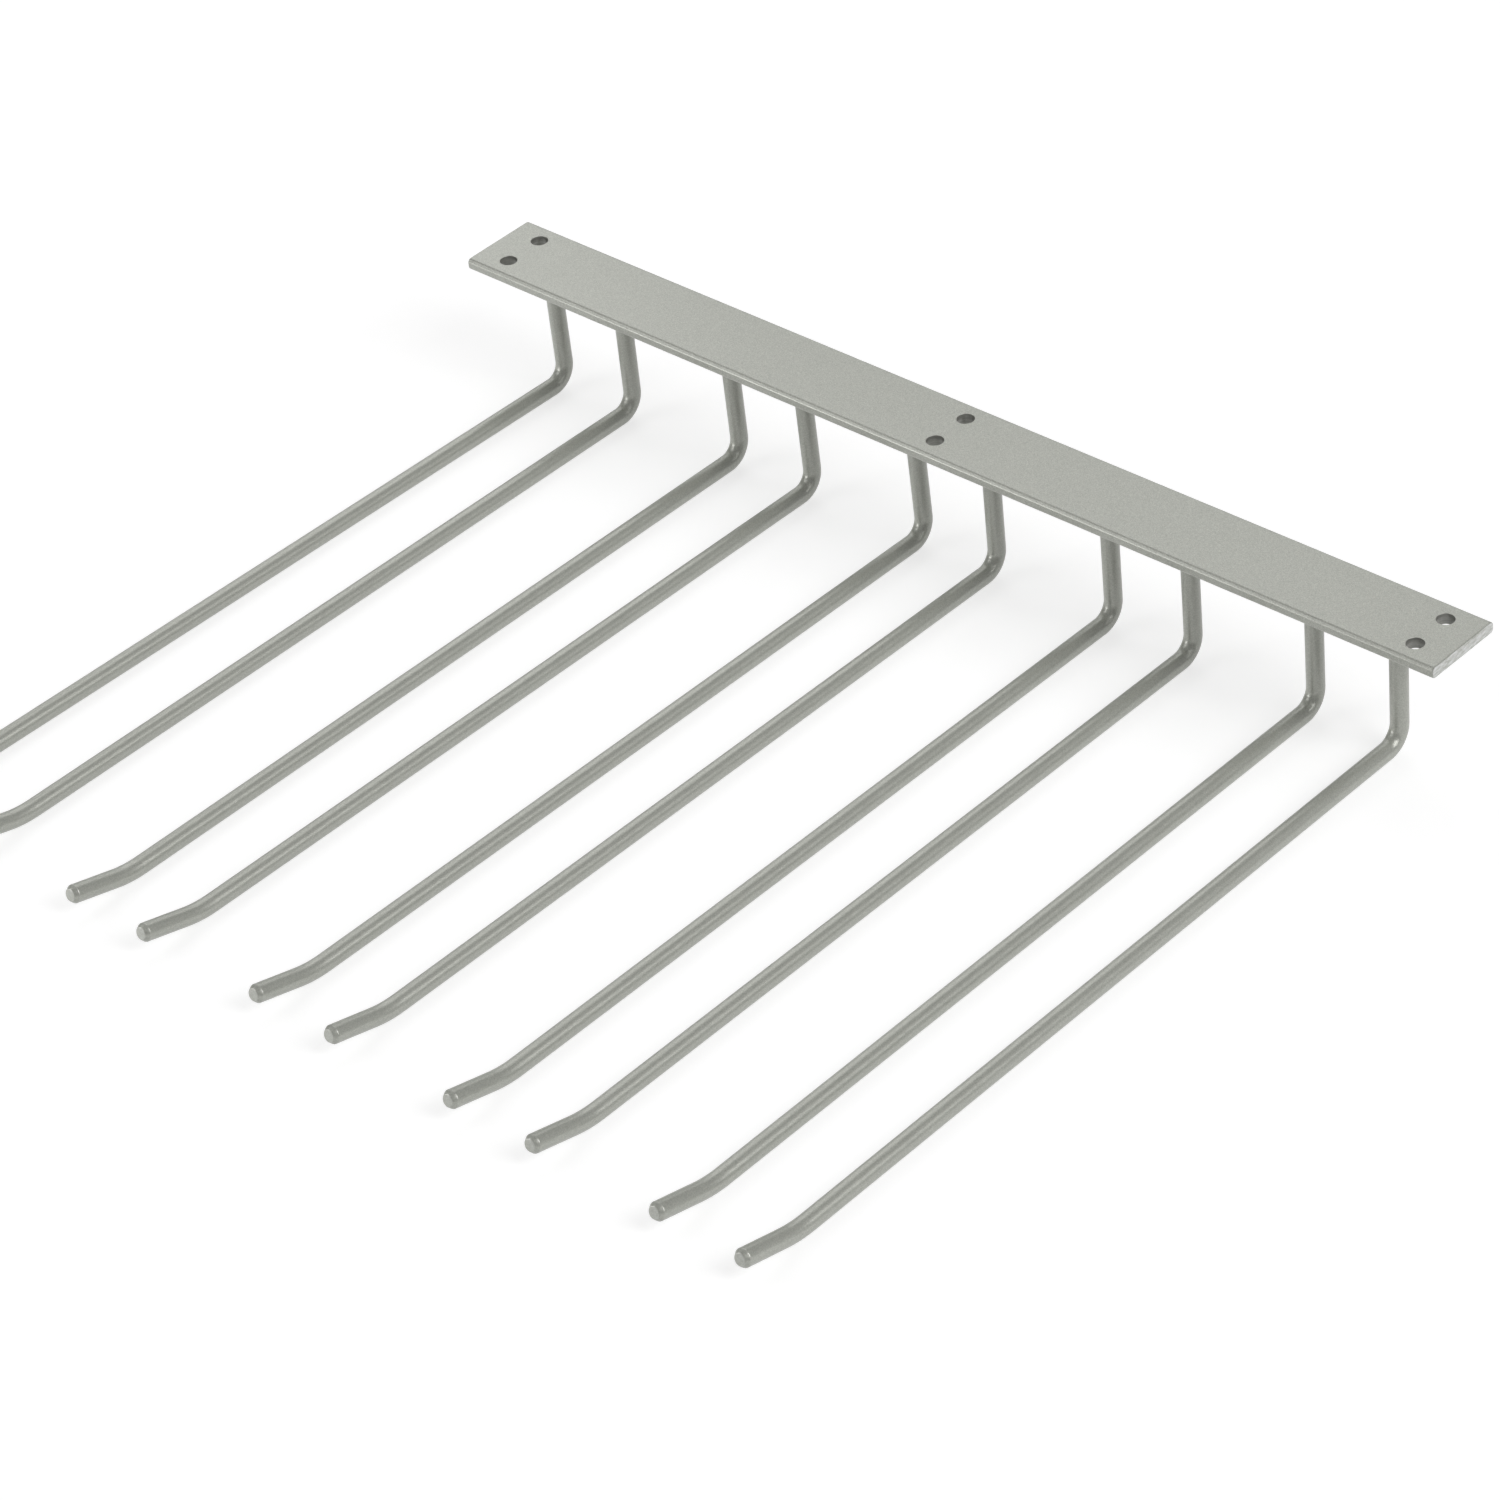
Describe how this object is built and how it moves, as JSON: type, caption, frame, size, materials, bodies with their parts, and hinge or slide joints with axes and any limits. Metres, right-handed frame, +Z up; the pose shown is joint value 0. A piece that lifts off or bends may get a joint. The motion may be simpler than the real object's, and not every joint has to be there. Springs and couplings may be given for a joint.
{
  "type": "hanging wine glass rack",
  "caption": "Flat bar screwed under a shelf, with pairs of bent rods welded below it that hold wine glasses upside down by the foot.",
  "frame": {"origin": "centre of the mounting bar's top face, the face that lies against the shelf", "axes": "+X along the bar, +Y away from the open ends of the rails, so the rails run towards -Y, +Z up towards the shelf"},
  "size_m": [0.4, 0.3155, 0.049],
  "materials": {
    "bar_coat": "satin silver-grey powder coat with a fine metallic speckle",
    "rail_coat": "satin silver-grey powder coat with a fine metallic speckle, a little glossier on the round rods",
    "bead_coat": "satin silver-grey powder coat over rippled weld metal"
  },
  "bodies": {
    "root": {"mounting_bar": "bar_coat", "glass_rail_1_left": "rail_coat", "glass_rail_1_right": "rail_coat", "glass_rail_2_left": "rail_coat", "glass_rail_2_right": "rail_coat", "glass_rail_3_left": "rail_coat", "glass_rail_3_right": "rail_coat", "glass_rail_4_left": "rail_coat", "glass_rail_4_right": "rail_coat", "glass_rail_5_left": "rail_coat", "glass_rail_5_right": "rail_coat", "weld_bead_1_left": "bead_coat", "weld_bead_1_right": "bead_coat", "weld_bead_2_left": "bead_coat", "weld_bead_2_right": "bead_coat", "weld_bead_3_left": "bead_coat", "weld_bead_3_right": "bead_coat", "weld_bead_4_left": "bead_coat", "weld_bead_4_right": "bead_coat", "weld_bead_5_left": "bead_coat", "weld_bead_5_right": "bead_coat"}
  },
  "joints": []
}
